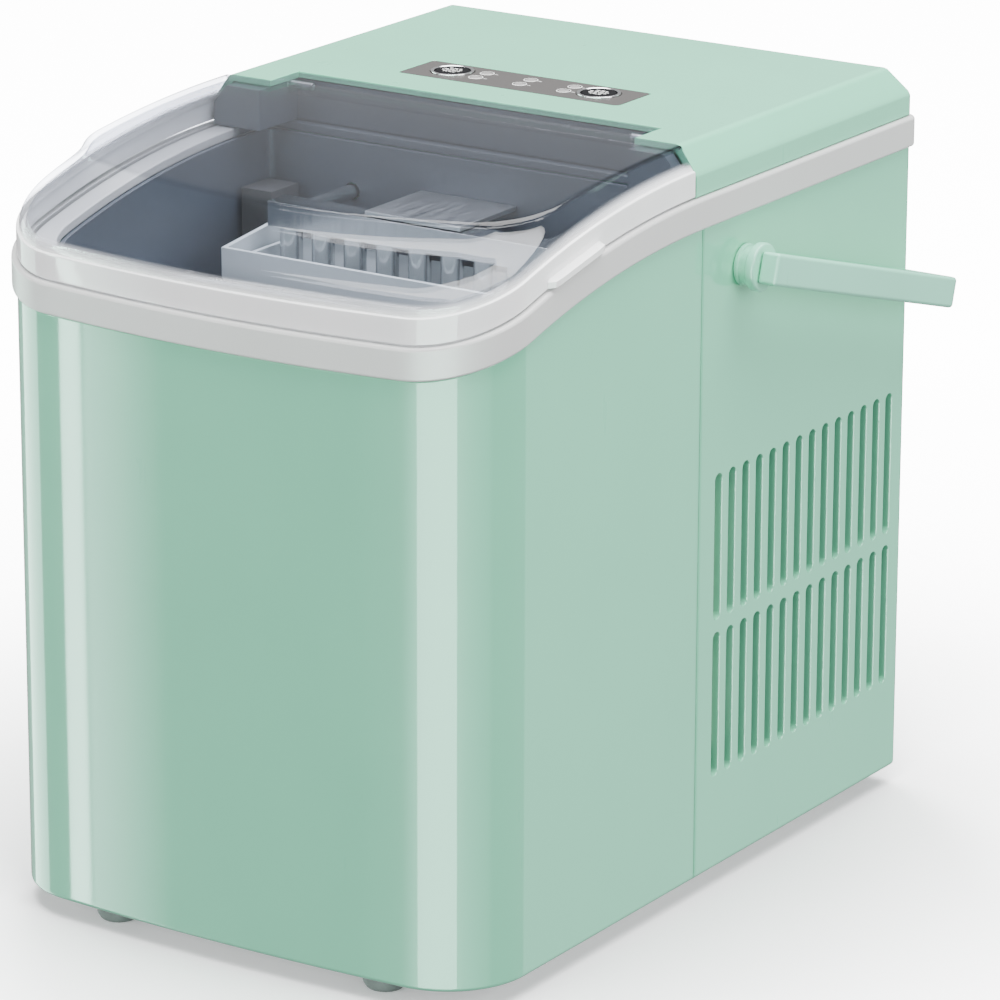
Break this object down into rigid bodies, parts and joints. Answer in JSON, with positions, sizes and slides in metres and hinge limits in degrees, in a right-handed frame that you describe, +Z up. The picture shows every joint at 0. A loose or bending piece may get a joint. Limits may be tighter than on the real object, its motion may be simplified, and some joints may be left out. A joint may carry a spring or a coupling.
{
  "type": "countertop ice maker",
  "caption": "Countertop ice maker with a clear hinged lid over an ice basket, a control panel behind it, side vents and a folding carry handle.",
  "frame": {"origin": "on the floor under the middle of the bounding box, with the handle folded back", "axes": "+X to the object's right seen from the front, +Y to the back, +Z up; the lid and the front face -Y"},
  "size_m": [0.2578, 0.3274, 0.3006],
  "materials": {
    "mint_paint": "glossy mint green moulded body",
    "light_grey_plastic": "satin light grey",
    "slate_plastic": "satin dark slate",
    "clear_plastic": "clear glossy lid plastic with a faint smoke tint",
    "panel_overlay": "satin warm grey printed overlay",
    "black_plastic": "satin black",
    "dark_grey_plastic": "matte dark grey",
    "lens_plastic": "milky light guide",
    "frosted_plastic": "frosted translucent",
    "rubber": "matte",
    "foam": "expanded insulating foam",
    "chrome": "polished plated",
    "zinc_steel": "zinc plated",
    "aluminium": "bare fins",
    "copper": "bare copper tube",
    "circuit_board": "solder masked board"
  },
  "bodies": {
    "housing": {"front_shell": "mint_paint", "rear_shell": "mint_paint", "top_cover": "mint_paint", "handle_hub_left": "mint_paint", "handle_hub_right": "mint_paint", "base_pan": "light_grey_plastic", "trim_band": "light_grey_plastic", "chamber_rim": "light_grey_plastic", "chamber_liner": "slate_plastic", "rear_cowl": "slate_plastic", "control_panel": "panel_overlay", "power_inlet": "black_plastic", "compressor": "black_plastic", "fan_bracket": "black_plastic", "hot_gas_valve": "black_plastic", "tray_motor": "dark_grey_plastic", "water_pump": "dark_grey_plastic", "water_level_sensor": "dark_grey_plastic", "ice_sensor_left": "dark_grey_plastic", "ice_sensor_right": "dark_grey_plastic", "fan_shroud": "dark_grey_plastic", "fan_motor": "dark_grey_plastic", "drain_spout": "dark_grey_plastic", "indicator_lens": "lens_plastic", "tray_bearing": "frosted_plastic", "pump_hose": "frosted_plastic", "foot_front_left": "rubber", "foot_front_right": "rubber", "foot_back_left": "rubber", "foot_back_right": "rubber", "tank_insulation": "foam", "select_button_ring": "chrome", "power_button_ring": "chrome", "evaporator": "chrome", "handle_pin_left": "zinc_steel", "handle_pin_right": "zinc_steel", "evaporator_bracket": "zinc_steel", "bulkhead": "zinc_steel", "back_screw_lower_left": "zinc_steel", "back_screw_lower_right": "zinc_steel", "back_screw_upper_left": "zinc_steel", "back_screw_upper_right": "zinc_steel", "condenser": "aluminium", "filter_dryer": "copper", "discharge_line": "copper", "suction_line": "copper", "power_board": "circuit_board", "control_board": "circuit_board"},
    "lid": {"lid": "clear_plastic", "lid_pin_left": "zinc_steel", "lid_pin_right": "zinc_steel"},
    "handle": {"handle": "mint_paint"},
    "select_button": {"select_button": "black_plastic"},
    "power_button": {"power_button": "black_plastic"},
    "basket": {"ice_basket": "frosted_plastic"},
    "tray": {"water_tray": "frosted_plastic", "tray_shaft": "zinc_steel"},
    "shovel": {"ice_shovel": "frosted_plastic"},
    "fan": {"fan": "dark_grey_plastic"},
    "drain_cap": {"drain_cap": "rubber"}
  },
  "joints": [
    {"name": "lid_hinge", "type": "hinge", "parent": "housing", "child": "lid", "pos_m": [0, 0.00342, 0.2959], "axis": [-1, 0, 0], "range_deg": [0, 90]},
    {"name": "handle_swing", "type": "hinge", "parent": "housing", "child": "handle", "pos_m": [0, 0.02381, 0.2476], "axis": [1, 0, 0], "range_deg": [0, 106]},
    {"name": "select_button_press", "type": "slide", "parent": "housing", "child": "select_button", "axis": [0, 0, -1], "range_m": [0, 0.0008], "stiffness_N_per_m": 400, "springref_m": -0.001},
    {"name": "power_button_press", "type": "slide", "parent": "housing", "child": "power_button", "axis": [0, 0, -1], "range_m": [0, 0.0008], "stiffness_N_per_m": 400, "springref_m": -0.001},
    {"name": "basket_lift", "type": "slide", "parent": "housing", "child": "basket", "axis": [0, 0, 1], "range_m": [0, 0.02]},
    {"name": "water_tray_tilt", "type": "hinge", "parent": "housing", "child": "tray", "pos_m": [0, -0.00679, 0.2436], "axis": [1, 0, 0], "range_deg": [0, 38]},
    {"name": "ice_shovel_swing", "type": "hinge", "parent": "housing", "child": "shovel", "pos_m": [0, -0.00679, 0.2436], "axis": [1, 0, 0], "range_deg": [-23, 0]},
    {"name": "fan_spin", "type": "hinge", "parent": "housing", "child": "fan", "pos_m": [-0.072, 0.08221, 0.1066], "axis": [1, 0, 0], "continuous": true},
    {"name": "drain_cap_pull", "type": "slide", "parent": "housing", "child": "drain_cap", "axis": [0, 1, 0], "range_m": [0, 0.012]}
  ],
  "couplings": [
    {"joint": "ice_shovel_swing", "follows": "water_tray_tilt", "ratio": -0.6}
  ]
}
